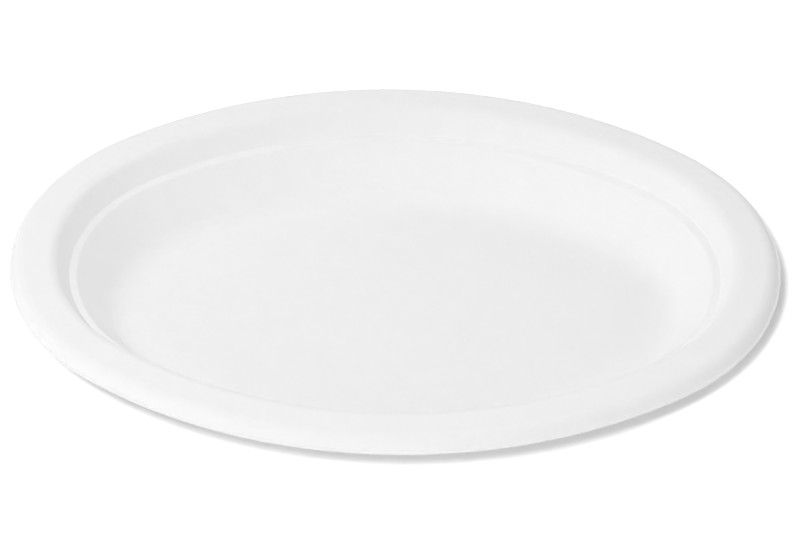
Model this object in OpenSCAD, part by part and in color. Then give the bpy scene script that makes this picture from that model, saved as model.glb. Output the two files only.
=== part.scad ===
/* [Outline] */
// Overall length, from trimmed edge to trimmed edge
plate_l = 260; // [240:1:290]
// Overall width, from trimmed edge to trimmed edge
plate_w = 189; // [178:1:220]

/* [Wall] */
// Thickness of the pressed fibre
wall_t = 1.1; // [0.8:0.1:1.4]

/* [Brim] */
// Height of the brim's crest above the table
rim_h = 26.5; // [23.5:0.5:31]
// Inward distance from the trimmed edge to the shoulder's corner
brim_w = 15; // [14:0.2:18]
// Slope of the brim's top, falling outwards
brim_angle = 3; // [0:0.5:4.5]
// Width of the flat lip outside the roll
lip_w = 0.8; // [0.7:0.1:1.5]
// Depth of the lip below the crest
lip_drop = 4.5; // [4.3:0.1:6.5]
// Angle of the roll where it rises from the lip
roll_angle = 62; // [56:1:68]
// Fillet radius between the roll and the brim's top
roll_r = 5; // [3:0.1:5.4]
// Fillet radius between the lip and the roll
lip_r = 0.8; // [0.5:0.1:1.2]
// Fillet radius of the shoulder
shoulder_r = 4.5; // [2:0.1:6]

/* [Well] */
// Angle of the upper wall, above the stacking step
upper_angle = 60; // [52:1:68]
// Height of the stacking step above the table
step_h = 18.6; // [16:0.1:19.4]
// Width of the stacking step
step_w = 3.2; // [2.4:0.1:4]
// Slope of the stacking step, falling inwards
step_angle = 30; // [18:1:36]
// Fillet radius at the inner corner of the step, under the upper wall
step_in_r = 1; // [0.5:0.1:1.5]
// Fillet radius at the outer corner of the step, over the lower wall
step_out_r = 1.5; // [1.3:0.1:2.5]
// Angle of the lower wall
lower_angle = 52; // [44:1:57]
// Fillet radius between the lower wall and the floor
floor_r = 15; // [11:0.5:23]

/* [Hidden] */
$fn = 72;

// The oval is drawn with four arcs, whose centres are the corners of right-angled triangles with
// whole sides: each end's centre lies 3 units from the middle, each side's centre 4 units behind it,
// and the line through both, where the arcs touch, is 5 units long
centre_ratio = [3, 4];
oval_unit = (plate_l - plate_w) / 2 / (centre_ratio[0] + centre_ratio[1] - norm(centre_ratio));
end_x = centre_ratio[0] * oval_unit;
side_y = centre_ratio[1] * oval_unit;
end_r = plate_l / 2 - end_x;
side_r = plate_w / 2 + side_y;

// One fillet segment turns by about this many degrees
segment_angle = 9;
// Points are kept to this fraction of a millimetre, so that neighbouring arcs share them
grid = 1000;

// Corners of the upper face, as inward distance from the trimmed edge and height above the table
// The shoulder's corner stands above the crest by what its fillet takes off
shoulder_turn = brim_angle + upper_angle;
crest_cut = shoulder_r * (tan(shoulder_turn / 2) * sin(brim_angle) + cos(brim_angle) - 1);
shoulder = [brim_w, rim_h + crest_cut];
lip_corner = [lip_w, rim_h - lip_drop];
brim_rise = shoulder - lip_corner;
roll_run = (brim_rise[1] - brim_rise[0] * tan(brim_angle)) / (tan(roll_angle) - tan(brim_angle));
roll_corner = lip_corner + roll_run * [1, tan(roll_angle)];
step_in = shoulder + (shoulder[1] - step_h) * [1 / tan(upper_angle), -1];
step_out = step_in + step_w * [1, -tan(step_angle)];
floor_corner = step_out + (step_out[1] - wall_t) * [1 / tan(lower_angle), -1];
floor_middle = [plate_w / 2, wall_t];

function unit(v) = v / norm(v);
function turned(v, a) = [v[0] * cos(a) - v[1] * sin(a), v[0] * sin(a) + v[1] * cos(a)];
function kept(p) = [round(p[0] * grid) / grid, round(p[1] * grid) / grid];

// Points of the fillet of radius r that replaces a corner between its two neighbours
function fillet(before, corner, after, r) =
    let(
        into = unit(corner - before),
        out = unit(after - corner),
        turn = atan2(into[0] * out[1] - into[1] * out[0], into * out),
        side = sign(turn) * [-into[1], into[0]],
        start = corner - into * r * tan(abs(turn) / 2),
        centre = start + side * r,
        steps = ceil(abs(turn) / segment_angle)
    )
    [for (i = [0:steps]) centre + turned(start - centre, turn * i / steps)];

// A line through all corners, with each inner corner filleted
function rounded(corners, radii) =
    let(last = len(corners) - 1)
    [
        corners[0],
        for (i = [1:last - 1]) each fillet(corners[i - 1], corners[i], corners[i + 1], radii[i - 1]),
        corners[last]
    ];

// The same line moved by t to the right of its run, which is the other face of the wall
function beside(line, t) =
    let(last = len(line) - 1)
    [for (i = [0:last])
        let(
            into = unit(line[max(i, 1)] - line[max(i, 1) - 1]),
            out = unit(line[min(i, last - 1) + 1] - line[min(i, last - 1)]),
            along = unit(into + out)
        )
        line[i] + [along[1], -along[0]] * t / (along * into)];

upper_face = rounded(
    [[0, lip_corner[1]], lip_corner, roll_corner, shoulder, step_in, step_out, floor_corner, floor_middle],
    [lip_r, roll_r, shoulder_r, step_in_r, step_out_r, floor_r]
);
lower_face = beside(upper_face, wall_t);
inner = len(upper_face) - 2;
wall_points = [
    for (i = [0:inner]) kept(upper_face[i]),
    for (i = [inner:-1:0]) kept(lower_face[i])
];
floor_start = inner + 1;

// The lines where the arcs touch, drawn well past the outline
reach = centre_ratio * plate_w;

// The section from the trimmed edge in to the axis, for an arc of the given plan radius
module section(plan_r) {
    polygon([
        for (i = [0:inner]) [plan_r - wall_points[i][0], wall_points[i][1]],
        [0, wall_t],
        [0, 0],
        for (i = [floor_start:len(wall_points) - 1]) [plan_r - wall_points[i][0], wall_points[i][1]]
    ]);
}

// The part of the plate that turns about one end's centre
module end_arc() {
    intersection() {
        translate([end_x, 0, 0])
            rotate_extrude()
                section(end_r);
        linear_extrude(2 * rim_h)
            polygon([[end_x, 0], [end_x + reach[0], -reach[1]], [end_x + reach[0], reach[1]]]);
    }
}

// The part of the plate that turns about one side's centre, up to the middle line
module side_arc() {
    intersection() {
        translate([0, -side_y, 0])
            rotate_extrude()
                section(side_r);
        linear_extrude(2 * rim_h)
            polygon([
                [-end_x, 0],
                [end_x, 0],
                [end_x + reach[0], reach[1]],
                [-end_x - reach[0], reach[1]]
            ]);
    }
}

module plate() {
    color("#f1f1ee")
        union() {
            end_arc();
            mirror([1, 0, 0]) end_arc();
            side_arc();
            mirror([0, 1, 0]) side_arc();
        }
}

plate();
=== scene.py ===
"""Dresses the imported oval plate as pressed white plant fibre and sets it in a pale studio."""

import logging
from dataclasses import dataclass
from enum import Enum
from math import atan2, ceil, cos, pi, radians, sin, tan

import bmesh
import bpy
from mathutils import Matrix, Vector


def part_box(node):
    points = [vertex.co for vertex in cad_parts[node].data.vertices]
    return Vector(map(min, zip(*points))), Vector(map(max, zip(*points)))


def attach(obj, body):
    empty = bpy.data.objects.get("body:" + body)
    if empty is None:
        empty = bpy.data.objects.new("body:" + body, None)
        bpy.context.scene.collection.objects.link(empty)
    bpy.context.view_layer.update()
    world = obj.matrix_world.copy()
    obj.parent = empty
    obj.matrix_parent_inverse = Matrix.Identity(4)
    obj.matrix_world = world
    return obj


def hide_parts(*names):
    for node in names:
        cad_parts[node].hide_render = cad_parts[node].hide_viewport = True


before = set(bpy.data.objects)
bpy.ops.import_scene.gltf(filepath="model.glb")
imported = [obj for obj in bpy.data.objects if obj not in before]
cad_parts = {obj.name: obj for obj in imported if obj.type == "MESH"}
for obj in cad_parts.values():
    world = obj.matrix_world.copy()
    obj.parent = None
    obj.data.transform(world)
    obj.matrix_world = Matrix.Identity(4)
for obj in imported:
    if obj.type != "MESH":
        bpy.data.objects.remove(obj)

MM = 0.001
PHOTO_WIDTH_PX = 800
PHOTO_HEIGHT_PX = 552
WORLD_UP = Vector((0.0, 0.0, 1.0))
WHITE = "#ffffff"

# The sRGB curve, which is a straight foot below the knee and a power above it
SRGB_KNEE = 0.04045
SRGB_FOOT_SLOPE = 12.92
SRGB_OFFSET = 0.055
SRGB_POWER = 2.4

# Socket numbers of a Mix node in colour mode, where several sockets share a name
MIX_FACTOR, MIX_A, MIX_B = 0, 6, 7
MIX_COLOUR = 2

# Length of one wave of a Wave Texture whose scale is 1
WAVE_LENGTH = pi / 10

# Whole sides of the right-angled triangle between the oval's middle, an end arc's centre and a side
# arc's centre. The two arcs touch on the line along its longest side.
END_LEG, SIDE_LEG, LONG_SIDE = 3, 4, 5

log = logging.getLogger("plate")


class Face(Enum):
    """The two sides of the wall, each with a finish of its own."""

    FOOD = 0
    SCREEN = 1


def linear(hex_colour: str) -> tuple[float, float, float, float]:
    """Turns an sRGB hex colour into the linear values that shaders take.

    Args:
        hex_colour: Six hex digits, with or without a leading #.

    Returns:
        Linear red, green, blue and an alpha of 1.
    """
    digits = hex_colour.lstrip("#")
    channels = [int(digits[i:i + 2], 16) / 255 for i in (0, 2, 4)]
    red, green, blue = (
        c / SRGB_FOOT_SLOPE if c <= SRGB_KNEE else ((c + SRGB_OFFSET) / (1 + SRGB_OFFSET)) ** SRGB_POWER
        for c in channels
    )
    return (red, green, blue, 1.0)


def slope(angle: float) -> float:
    """Returns the rise over the run of a line at an angle in degrees."""
    return tan(radians(angle))


def add_node(
    tree: bpy.types.NodeTree,
    kind: str,
    settings: dict[str, object] | None = None,
    inputs: dict[str | int, object] | None = None,
) -> bpy.types.Node:
    """Adds a node to a tree with its settings, values and links.

    Args:
        tree: The node tree that takes the node.
        kind: The node's type name.
        settings: Attributes of the node, such as its operation.
        inputs: Values by socket name or number. An output socket is linked, anything else is set.

    Returns:
        The new node.
    """
    node = tree.nodes.new(kind)
    for name, value in (settings or {}).items():
        setattr(node, name, value)
    for name, value in (inputs or {}).items():
        socket = node.inputs[name]
        if isinstance(value, bpy.types.NodeSocket):
            tree.links.new(value, socket)
        else:
            socket.default_value = value
    return node


def new_material(name: str) -> bpy.types.Material:
    """Makes an empty node material."""
    material = bpy.data.materials.new(name)
    material.use_nodes = True
    material.node_tree.nodes.clear()
    return material


def seen_directly(tree: bpy.types.NodeTree) -> bpy.types.NodeSocket:
    """Adds a mask of the rays that show a thing itself: from the camera, in a gloss or through glass.

    Args:
        tree: The node tree of a material or of the world.

    Returns:
        The socket, which is 1 for such rays and 0 for the others.
    """
    path = add_node(tree, "ShaderNodeLightPath")
    opaque = add_node(
        tree,
        "ShaderNodeMath",
        {"operation": "MAXIMUM"},
        {0: path.outputs["Is Camera Ray"], 1: path.outputs["Is Glossy Ray"]},
    )
    mask = add_node(
        tree,
        "ShaderNodeMath",
        {"operation": "MAXIMUM"},
        {0: opaque.outputs[0], 1: path.outputs["Is Transmission Ray"]},
    )
    return mask.outputs[0]


@dataclass(frozen=True)
class PulpFinish:
    """Moulded plant fibre, hot pressed: a dry matt white wall with a soft, slightly cloudy surface.

    The food side was pressed against a polished tool, so only tufts of fibre stand proud of it, and it
    shines no more than paper does. The other side dried against a wire screen and keeps the print of its
    mesh.
    """

    name: str
    face: Face
    colour: str = "#f1f1f1"
    cloud_colour: str = "#eeeeee"
    roughness: float = 0.82
    diffuse_roughness: float = 0.6
    ior: float = 1.47
    specular_level: float = 0.35
    cloud_mm: float = 9.0
    cloud_detail: float = 4.0
    cloud_roughness: float = 0.6
    fibre_mm: float = 0.8
    fibre_detail: float = 3.0
    fibre_roughness: float = 0.65
    fibre_depth_mm: float = 0.13
    dimple_mm: float = 3.2
    dimple_detail: float = 1.0
    dimple_roughness: float = 0.5
    dimple_depth_mm: float = 0.17
    wire_pitch_mm: float = 0.9
    wire_depth_mm: float = 0.05

    def build(self) -> bpy.types.Material:
        """Builds the finish.

        Returns:
            The material, with its pattern scales worked out from the sizes in millimetres.
        """
        material = new_material(self.name)
        tree = material.node_tree
        place = add_node(tree, "ShaderNodeTexCoord").outputs["Object"]
        height = self.fibre_height(tree, place)
        if self.face is Face.SCREEN:
            height = self.with_screen_print(tree, place, height)
        bump = add_node(
            tree,
            "ShaderNodeBump",
            inputs={"Strength": 1.0, "Distance": MM, "Height": height},
        )
        shader = add_node(
            tree,
            "ShaderNodeBsdfPrincipled",
            inputs={
                "Base Color": self.pulp_colour(tree, place),
                "Roughness": self.roughness,
                "IOR": self.ior,
                "Specular IOR Level": self.specular_level,
                "Diffuse Roughness": self.diffuse_roughness,
                "Normal": bump.outputs["Normal"],
            },
        )
        add_node(tree, "ShaderNodeOutputMaterial", inputs={"Surface": shader.outputs["BSDF"]})
        return material

    def pulp_colour(
        self,
        tree: bpy.types.NodeTree,
        place: bpy.types.NodeSocket,
    ) -> bpy.types.NodeSocket:
        """Mixes the pulp's faint clouds, where its fibres lie thicker.

        Args:
            tree: The material's node tree.
            place: The object coordinates.

        Returns:
            The colour socket.
        """
        cloud = add_node(
            tree,
            "ShaderNodeTexNoise",
            inputs={
                "Vector": place,
                "Scale": 1 / (self.cloud_mm * MM),
                "Detail": self.cloud_detail,
                "Roughness": self.cloud_roughness,
            },
        )
        cloudy = add_node(
            tree,
            "ShaderNodeMix",
            {"data_type": "RGBA"},
            {
                MIX_FACTOR: cloud.outputs["Fac"],
                MIX_A: linear(self.colour),
                MIX_B: linear(self.cloud_colour),
            },
        )
        return cloudy.outputs[MIX_COLOUR]

    def fibre_height(
        self,
        tree: bpy.types.NodeTree,
        place: bpy.types.NodeSocket,
    ) -> bpy.types.NodeSocket:
        """Adds up the relief of the fibres and the shallow dimples of the pressed surface.

        Single fibres are too fine to show, so their relief is drawn as coarse as small tufts.

        Args:
            tree: The material's node tree.
            place: The object coordinates.

        Returns:
            The height in millimetres.
        """
        fibre = add_node(
            tree,
            "ShaderNodeTexNoise",
            inputs={
                "Vector": place,
                "Scale": 1 / (self.fibre_mm * MM),
                "Detail": self.fibre_detail,
                "Roughness": self.fibre_roughness,
            },
        )
        dimple = add_node(
            tree,
            "ShaderNodeTexNoise",
            inputs={
                "Vector": place,
                "Scale": 1 / (self.dimple_mm * MM),
                "Detail": self.dimple_detail,
                "Roughness": self.dimple_roughness,
            },
        )
        fine = add_node(
            tree,
            "ShaderNodeMath",
            {"operation": "MULTIPLY"},
            {0: fibre.outputs["Fac"], 1: self.fibre_depth_mm},
        )
        both = add_node(
            tree,
            "ShaderNodeMath",
            {"operation": "MULTIPLY_ADD"},
            {0: dimple.outputs["Fac"], 1: self.dimple_depth_mm, 2: fine.outputs[0]},
        )
        return both.outputs[0]

    def with_screen_print(
        self,
        tree: bpy.types.NodeTree,
        place: bpy.types.NodeSocket,
        height: bpy.types.NodeSocket,
    ) -> bpy.types.NodeSocket:
        """Adds the print of the drying screen, drawn at twice its real pitch so that it shows.

        Args:
            tree: The material's node tree.
            place: The object coordinates.
            height: The height so far, in millimetres.

        Returns:
            The height with the wires' print, in millimetres.
        """
        waves = []
        for direction in ("X", "Y"):
            wave = add_node(
                tree,
                "ShaderNodeTexWave",
                {"wave_type": "BANDS", "bands_direction": direction, "wave_profile": "SIN"},
                {"Vector": place, "Scale": WAVE_LENGTH / (self.wire_pitch_mm * MM), "Distortion": 0.0},
            )
            waves.append(wave.outputs["Fac"])
        crossing = add_node(
            tree,
            "ShaderNodeMath",
            {"operation": "MULTIPLY"},
            {0: waves[0], 1: waves[1]},
        )
        printed = add_node(
            tree,
            "ShaderNodeMath",
            {"operation": "MULTIPLY_ADD"},
            {0: crossing.outputs[0], 1: self.wire_depth_mm, 2: height},
        )
        return printed.outputs[0]


@dataclass(frozen=True)
class SweepFinish:
    """Seamless white studio paper, matt, and burnt out to white by a light of its own.

    That light is weak where the plate's shadow lies and strong outside it. Only rays that end in the
    picture see it, so it adds nothing to the plate, and the shadow stays. Its fade follows an oval, given
    by its middle and its half sizes in metres, and starts and ends at shares of them.
    """

    middle: Vector
    half_length: float
    half_width: float
    name: str = "studio_paper"
    colour: str = "#ececec"
    roughness: float = 0.9
    near_lift: float = 0.25
    far_lift: float = 0.55
    fade_start: float = 0.995
    fade_end: float = 1.03

    def build(self) -> bpy.types.Material:
        """Builds the finish.

        Returns:
            The material, whose own light grows just outside the shadow's outline.
        """
        material = new_material(self.name)
        tree = material.node_tree
        lift = add_node(
            tree,
            "ShaderNodeMath",
            {"operation": "MULTIPLY"},
            {0: seen_directly(tree), 1: self.own_light(tree)},
        )
        shader = add_node(
            tree,
            "ShaderNodeBsdfPrincipled",
            inputs={
                "Base Color": linear(self.colour),
                "Roughness": self.roughness,
                "Specular IOR Level": 0.0,
                "Emission Color": linear(WHITE),
                "Emission Strength": lift.outputs[0],
            },
        )
        add_node(tree, "ShaderNodeOutputMaterial", inputs={"Surface": shader.outputs["BSDF"]})
        return material

    def own_light(self, tree: bpy.types.NodeTree) -> bpy.types.NodeSocket:
        """Works out the paper's own light from the distance to the shadow's middle.

        Args:
            tree: The material's node tree.

        Returns:
            The strength socket.
        """
        place = add_node(tree, "ShaderNodeTexCoord").outputs["Object"]
        away = add_node(
            tree,
            "ShaderNodeVectorMath",
            {"operation": "SUBTRACT"},
            {0: place, 1: self.middle},
        )
        share = add_node(
            tree,
            "ShaderNodeVectorMath",
            {"operation": "MULTIPLY"},
            {0: away.outputs["Vector"], 1: (1 / self.half_length, 1 / self.half_width, 0.0)},
        )
        distance = add_node(
            tree,
            "ShaderNodeVectorMath",
            {"operation": "LENGTH"},
            {0: share.outputs["Vector"]},
        )
        light = add_node(
            tree,
            "ShaderNodeMapRange",
            {"interpolation_type": "SMOOTHSTEP"},
            {
                "Value": distance.outputs["Value"],
                "From Min": self.fade_start,
                "From Max": self.fade_end,
                "To Min": self.near_lift,
                "To Max": self.far_lift,
            },
        )
        return light.outputs["Result"]


@dataclass
class FourArcOval:
    """An oval of four arcs that touch smoothly, whose centres stand on 3-4-5 triangles."""

    length: float
    width: float

    @property
    def unit(self) -> float:
        """The length in which the triangles' sides are counted."""
        return (self.length - self.width) / 2 / (END_LEG + SIDE_LEG - LONG_SIDE)

    @property
    def joint_angle(self) -> float:
        """The plan angle, from the length, at which an end hands over to a side."""
        return atan2(SIDE_LEG, END_LEG)

    def arcs(self) -> list[tuple[Vector, float, float]]:
        """Lists the arcs in order, from the right-hand end's lower joint round to itself.

        Returns:
            Each arc's centre, radius and angle.
        """
        end_centre = Vector((END_LEG * self.unit, 0.0, 0.0))
        side_centre = Vector((0.0, SIDE_LEG * self.unit, 0.0))
        end_radius = self.length / 2 - END_LEG * self.unit
        side_radius = end_radius + LONG_SIDE * self.unit
        end_turn = 2 * self.joint_angle
        side_turn = pi - end_turn
        return [
            (end_centre, end_radius, end_turn),
            (-side_centre, side_radius, side_turn),
            (-end_centre, end_radius, end_turn),
            (side_centre, side_radius, side_turn),
        ]


@dataclass
class SectionPen:
    """Draws a line of edges in the XZ plane, as straights and round bends."""

    mesh: bmesh.types.BMesh
    tip: bmesh.types.BMVert
    heading: float
    bend_step: float = radians(4.0)
    least_steps: int = 2

    def ahead(self, turn: float = 0.0) -> Vector:
        """Returns the unit vector along the heading, turned upwards by an angle."""
        return Vector((cos(self.heading + turn), 0.0, sin(self.heading + turn)))

    def straight(self, length: float, parts: int = 1) -> None:
        """Draws a straight line.

        Args:
            length: Its length.
            parts: The number of edges that it has.
        """
        for _ in range(parts):
            made = bmesh.ops.extrude_vert_indiv(self.mesh, verts=[self.tip])
            self.tip = made["verts"][0]
            bmesh.ops.translate(self.mesh, verts=[self.tip], vec=self.ahead() * length / parts)

    def bend(self, radius: float, turn: float) -> None:
        """Draws an arc that leaves along the heading.

        Args:
            radius: The arc's radius.
            turn: The angle that it turns by, upwards from the heading where positive.
        """
        side = pi / 2 if turn > 0 else -pi / 2
        made = bmesh.ops.spin(
            self.mesh,
            geom=[self.tip],
            cent=self.tip.co + self.ahead(side) * radius,
            axis=Vector((0.0, -1.0, 0.0)),
            angle=turn,
            steps=max(self.least_steps, ceil(abs(turn) / self.bend_step)),
            use_merge=False,
        )
        self.tip = next(v for v in made["geom_last"] if isinstance(v, bmesh.types.BMVert))
        self.heading += turn


@dataclass
class Plate:
    """The one-piece plate: lip, rolled brim, shoulder, stacking step and well in one wall.

    Lengths are in metres and angles in degrees. The overall sizes come from the plate's solid. The step is
    narrower and more level than the solid's and the floor's fillet is smaller, as the photo shows them,
    by about half a millimetre of shape at most.
    """

    low: Vector
    high: Vector
    wall: float = 1.1 * MM
    lip_width: float = 0.8 * MM
    lip_drop: float = 4.5 * MM
    roll_angle: float = 62.0
    roll_radius: float = 5.0 * MM
    lip_radius: float = 0.8 * MM
    brim_width: float = 15.0 * MM
    brim_angle: float = 3.0
    shoulder_radius: float = 4.5 * MM
    upper_angle: float = 60.0
    step_height: float = 18.0 * MM
    step_width: float = 2.5 * MM
    step_angle: float = 10.0
    step_in_radius: float = 0.7 * MM
    step_out_radius: float = 1.3 * MM
    lower_angle: float = 52.6
    floor_radius: float = 10.0 * MM
    # Rounding of the trimmed edge
    edge_radius: float = 0.25 * MM
    # How far in from the trimmed edge the wall is spun, and in how many edges it crosses the floor
    floor_reach: float = 62.0 * MM
    floor_parts: int = 6
    # Longest edge round the oval, and the gap that is welded where the wall meets itself
    arc_edge: float = 3.0 * MM
    weld: float = 0.01 * MM
    # A face whose normal is lower than this points down and has the screen's print
    facing_down: float = -0.05
    finishes: tuple[PulpFinish, ...] = (
        PulpFinish("moulded_fibre_food_side", Face.FOOD),
        PulpFinish("moulded_fibre_screen_side", Face.SCREEN),
    )

    @property
    def oval(self) -> FourArcOval:
        """The plan outline at the trimmed edge."""
        return FourArcOval(self.high.x - self.low.x, self.high.y - self.low.y)

    def corners(self) -> list[tuple[float, float]]:
        """Works out the corners of the upper face, before their fillets.

        Returns:
            Inward distance from the trimmed edge and height above the table, from the lip to the floor.
        """
        crest = self.high.z - self.low.z
        brim, upper = radians(self.brim_angle), radians(self.upper_angle)
        # The shoulder's corner stands above the crest by what its fillet takes off
        cut = self.shoulder_radius * (tan((brim + upper) / 2) * sin(brim) + cos(brim) - 1)
        lip = (self.lip_width, crest - self.lip_drop)
        shoulder = (self.brim_width, crest + cut)
        rise = shoulder[1] - lip[1] - (shoulder[0] - lip[0]) * slope(self.brim_angle)
        run = rise / (slope(self.roll_angle) - slope(self.brim_angle))
        roll = (lip[0] + run, lip[1] + run * slope(self.roll_angle))
        step_in = (
            shoulder[0] + (shoulder[1] - self.step_height) / slope(self.upper_angle),
            self.step_height,
        )
        step_out = (
            step_in[0] + self.step_width,
            step_in[1] - self.step_width * slope(self.step_angle),
        )
        floor = (step_out[0] + (step_out[1] - self.wall) / slope(self.lower_angle), self.wall)
        start, end = (0.0, lip[1]), (self.floor_reach, self.wall)
        return [start, lip, roll, shoulder, step_in, step_out, floor, end]

    def fillets(self) -> list[float]:
        """Returns the radii of the upper face's fillets, from the lip to the floor."""
        return [
            self.lip_radius,
            self.roll_radius,
            self.shoulder_radius,
            self.step_in_radius,
            self.step_out_radius,
            self.floor_radius,
        ]

    def draw_section(self, mesh: bmesh.types.BMesh) -> None:
        """Draws the section: out along the underside, round the trimmed edge and in along the top.

        Args:
            mesh: The mesh that takes the line, whose ends lie on both faces of the floor.
        """
        points = [Vector((self.high.x - d, 0.0, z)) for d, z in self.corners()]
        runs = [b - a for a, b in zip(points, points[1:])]
        headings = [atan2(run.z, run.x) % (2 * pi) for run in runs]
        turns = [b - a for a, b in zip(headings, headings[1:])]
        radii = self.fillets()
        setbacks = [r * tan(abs(t) / 2) for r, t in zip(radii, turns)]
        ends = zip([self.edge_radius, *setbacks], [*setbacks, 0.0])
        lengths = [run.length - before - after for run, (before, after) in zip(runs, ends)]
        parts = [1] * (len(lengths) - 1) + [self.floor_parts]

        start = points[-1] - WORLD_UP * self.wall
        pen = SectionPen(mesh, bmesh.ops.create_vert(mesh, co=start)["vert"][0], heading=0.0)
        for i in reversed(range(len(lengths))):
            pen.straight(lengths[i], parts[i])
            if i > 0:
                # The underside bends round the same centres as the upper face, the other way
                turn = -turns[i - 1]
                pen.bend(radii[i - 1] + (self.wall if turn > 0 else -self.wall), turn)
        pen.bend(self.edge_radius, pi / 2)
        pen.straight(self.wall - 2 * self.edge_radius)
        pen.bend(self.edge_radius, pi / 2)
        for i, length in enumerate(lengths):
            pen.straight(length, parts[i])
            if i < len(turns):
                pen.bend(radii[i], turns[i])

    def spin_wall(self, mesh: bmesh.types.BMesh) -> None:
        """Carries the section round the oval, one arc after the other, and welds the seam.

        Args:
            mesh: The mesh that holds the section's line.
        """
        oval = self.oval
        arcs = oval.arcs()
        line = [*mesh.verts, *mesh.edges]
        first_centre = arcs[0][0]
        turn_back = Matrix.Rotation(-oval.joint_angle, 3, "Z")
        bmesh.ops.rotate(mesh, verts=mesh.verts[:], cent=first_centre, matrix=turn_back)
        for centre, radius, angle in arcs:
            made = bmesh.ops.spin(
                mesh,
                geom=line,
                cent=centre,
                axis=WORLD_UP,
                angle=angle,
                steps=ceil(radius * angle / self.arc_edge),
                use_merge=False,
            )
            line = made["geom_last"]
        bmesh.ops.remove_doubles(mesh, verts=mesh.verts[:], dist=self.weld)

    def close_floor(self, mesh: bmesh.types.BMesh) -> None:
        """Fills the middle of the floor on both faces of the wall, and points all faces outwards.

        Args:
            mesh: The mesh with the finished wall.
        """
        rims = [e for e in mesh.edges if e.is_boundary]
        bmesh.ops.holes_fill(mesh, edges=rims, sides=0)
        bmesh.ops.recalc_face_normals(mesh, faces=mesh.faces[:])

    def build(self) -> bpy.types.Object:
        """Builds the plate and dresses it.

        Returns:
            The plate's object, at the origin, riding on its body in place of its solid.
        """
        mesh = bmesh.new()
        self.draw_section(mesh)
        self.spin_wall(mesh)
        self.close_floor(mesh)
        for face in mesh.faces:
            face.smooth = True
            side = Face.SCREEN if face.normal.z < self.facing_down else Face.FOOD
            face.material_index = side.value
        data = bpy.data.meshes.new("plate_wall")
        mesh.to_mesh(data)
        mesh.free()
        for finish in self.finishes:
            data.materials.append(finish.build())
        plate = bpy.data.objects.new("plate_wall", data)
        bpy.context.scene.collection.objects.link(plate)
        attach(plate, "root")
        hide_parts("plate")
        return plate


@dataclass
class Sweep:
    """The pale floor that the plate stands on, a hair below it so that the two faces don't share a plane.

    It ends where the lamps still keep it white. Past it the white room shows.
    """

    finish: SweepFinish
    size: float = 1.8
    gap: float = 0.05 * MM

    def build(self) -> bpy.types.Object:
        """Builds the floor.

        Returns:
            The floor's object, which isn't part of the plate.
        """
        mesh = bmesh.new()
        below = Matrix.Translation(-WORLD_UP * self.gap)
        bmesh.ops.create_grid(mesh, x_segments=1, y_segments=1, size=self.size / 2, matrix=below)
        data = bpy.data.meshes.new("studio_floor")
        mesh.to_mesh(data)
        mesh.free()
        data.materials.append(self.finish.build())
        floor = bpy.data.objects.new("studio_floor", data)
        bpy.context.scene.collection.objects.link(floor)
        return floor


@dataclass(frozen=True)
class Softbox:
    """A square studio lamp behind a diffuser, aimed at the plate.

    The azimuth is seen from above, with 0 on the right of the plate and 90 behind it. Angles are in
    degrees, lengths in metres and the power in watts.
    """

    name: str
    azimuth: float
    elevation: float
    power: float
    distance: float = 1.6
    size: float = 0.8
    colour: str = WHITE

    @property
    def towards(self) -> Vector:
        """The unit vector from the plate to the lamp."""
        turn, lift = radians(self.azimuth), radians(self.elevation)
        return Vector((cos(turn) * cos(lift), sin(turn) * cos(lift), sin(lift)))

    def shadow_shift(self, height: float) -> Vector:
        """Works out how far along the floor the lamp throws the shadow of a point.

        Args:
            height: The point's height above the floor.

        Returns:
            The way from below the point to its shadow.
        """
        return WORLD_UP * height - self.towards * (height / self.towards.z)

    def build(self) -> bpy.types.Object:
        """Builds the lamp.

        Returns:
            The lamp's object.
        """
        data = bpy.data.lights.new(self.name, "AREA")
        data.shape = "SQUARE"
        data.size = self.size
        data.energy = self.power
        data.color = linear(self.colour)[:3]
        lamp = bpy.data.objects.new(self.name, data)
        lamp.location = self.towards * self.distance
        lamp.rotation_euler = self.towards.to_track_quat("Z", "Y").to_euler()
        bpy.context.scene.collection.objects.link(lamp)
        return lamp


@dataclass
class Studio:
    """A dim even room that shows as white, a small key lamp and softboxes that model the plate's forms.

    The key lamp throws the plate's crisp shadow. The softboxes are large and near, so theirs have no edge.
    """

    room_strength: float = 0.1
    colour: str = WHITE
    key: Softbox = Softbox(
        "key_softbox", azimuth=267.0, elevation=45.0, power=15.0, distance=1.8, size=0.12
    )
    softboxes: tuple[Softbox, ...] = (
        Softbox("left_softbox", azimuth=165.0, elevation=60.0, power=0.94, distance=0.8, size=0.4),
        Softbox("left_bank", azimuth=180.0, elevation=50.0, power=3.0),
        Softbox("back_left_bank", azimuth=135.0, elevation=50.0, power=3.1),
        Softbox("front_left_fill", azimuth=225.0, elevation=20.0, power=4.1),
        Softbox("front_right_fill", azimuth=315.0, elevation=20.0, power=3.55),
        Softbox("back_right_fill", azimuth=45.0, elevation=20.0, power=4.7),
        Softbox("back_fill", azimuth=90.0, elevation=20.0, power=2.1),
    )

    def build(self) -> None:
        """Builds the room's light and every softbox."""
        world = bpy.data.worlds.new("studio_room")
        world.use_nodes = True
        tree = world.node_tree
        tree.nodes.clear()
        strength = add_node(
            tree,
            "ShaderNodeMapRange",
            inputs={"Value": seen_directly(tree), "To Min": self.room_strength, "To Max": 1.0},
        )
        room = add_node(
            tree,
            "ShaderNodeBackground",
            inputs={"Color": linear(self.colour), "Strength": strength.outputs["Result"]},
        )
        add_node(tree, "ShaderNodeOutputWorld", inputs={"Surface": room.outputs["Background"]})
        bpy.context.scene.world = world
        for softbox in (self.key, *self.softboxes):
            softbox.build()
            log.info("lamp %s at %.0f degrees", softbox.name, softbox.azimuth)


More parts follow.
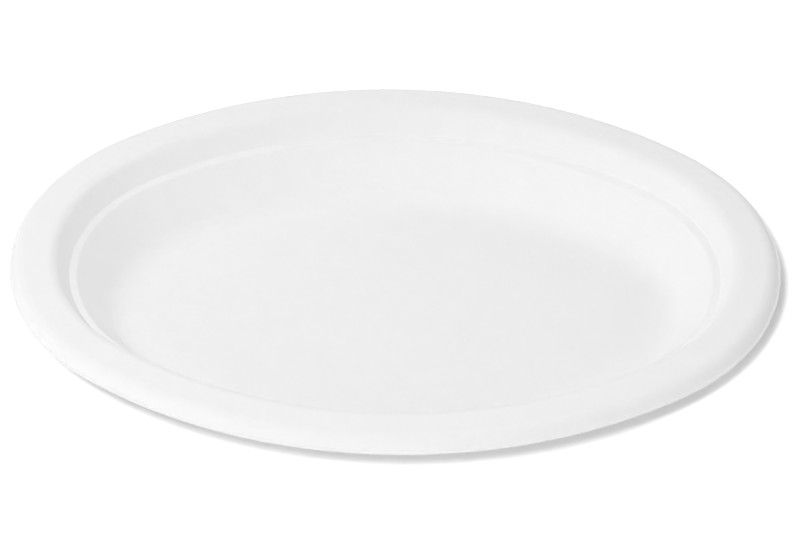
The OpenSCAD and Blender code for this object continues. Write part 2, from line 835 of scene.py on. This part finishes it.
@dataclass
class PhotoCamera:
    """The photograph's view, worked out from the plate's outline and stacking step.

    The camera looks down at the middle of the floor, a little from the right. A point of the picture is
    given in its pixels, and the scale is that of the plate's middle.
    """

    target: Vector
    elevation: float = 40.63
    azimuth: float = 2.75
    roll: float = 0.25
    distance: float = 1.7
    px_per_mm: float = 2.942
    target_px: tuple[float, float] = (394.8, 311.1)
    sensor_mm: float = 36.0

    def build(self) -> bpy.types.Object:
        """Builds the camera and makes it the scene's.

        Returns:
            The camera's object.
        """
        data = bpy.data.cameras.new("photo_camera")
        data.sensor_width = self.sensor_mm
        data.sensor_fit = "HORIZONTAL"
        focal_px = self.px_per_mm / MM * self.distance
        data.lens = focal_px * self.sensor_mm / PHOTO_WIDTH_PX
        data.shift_x = (PHOTO_WIDTH_PX / 2 - self.target_px[0]) / PHOTO_WIDTH_PX
        data.shift_y = (self.target_px[1] - PHOTO_HEIGHT_PX / 2) / PHOTO_WIDTH_PX
        camera = bpy.data.objects.new("photo_camera", data)
        turn, lift = radians(self.azimuth), radians(self.elevation)
        towards = Vector((sin(turn) * cos(lift), -cos(turn) * cos(lift), sin(lift)))
        aim = towards.to_track_quat("Z", "Y").to_matrix()
        rolled = aim @ Matrix.Rotation(radians(-self.roll), 3, "Z")
        camera.location = self.target + towards * self.distance
        camera.rotation_euler = rolled.to_euler()
        bpy.context.scene.collection.objects.link(camera)
        bpy.context.scene.camera = camera
        return camera


def main() -> None:
    logging.basicConfig(level=logging.INFO, format="%(message)s")
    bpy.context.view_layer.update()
    low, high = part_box("plate")
    plate = Plate(low, high)
    wall = plate.build()
    log.info("%s: %d faces", wall.name, len(wall.data.polygons))
    studio = Studio()
    studio.build()
    # How far past the lip's outline the paper's fade lies, at the ends and at the sides
    end_margin, side_margin = 0.5 * MM, 3.0 * MM
    middle = studio.key.shadow_shift(high.z - plate.lip_drop)
    paper = SweepFinish(middle, half_length=high.x + end_margin, half_width=high.y + side_margin)
    floor = Sweep(paper).build()
    log.info("%s: the stage's floor", floor.name)
    camera = PhotoCamera(target=WORLD_UP * plate.wall).build()
    log.info("%s: lens of %.0f mm", camera.name, camera.data.lens)
    bpy.context.scene.view_settings.view_transform = "Standard"
    bpy.context.view_layer.update()


if __name__ == "__main__":
    main()
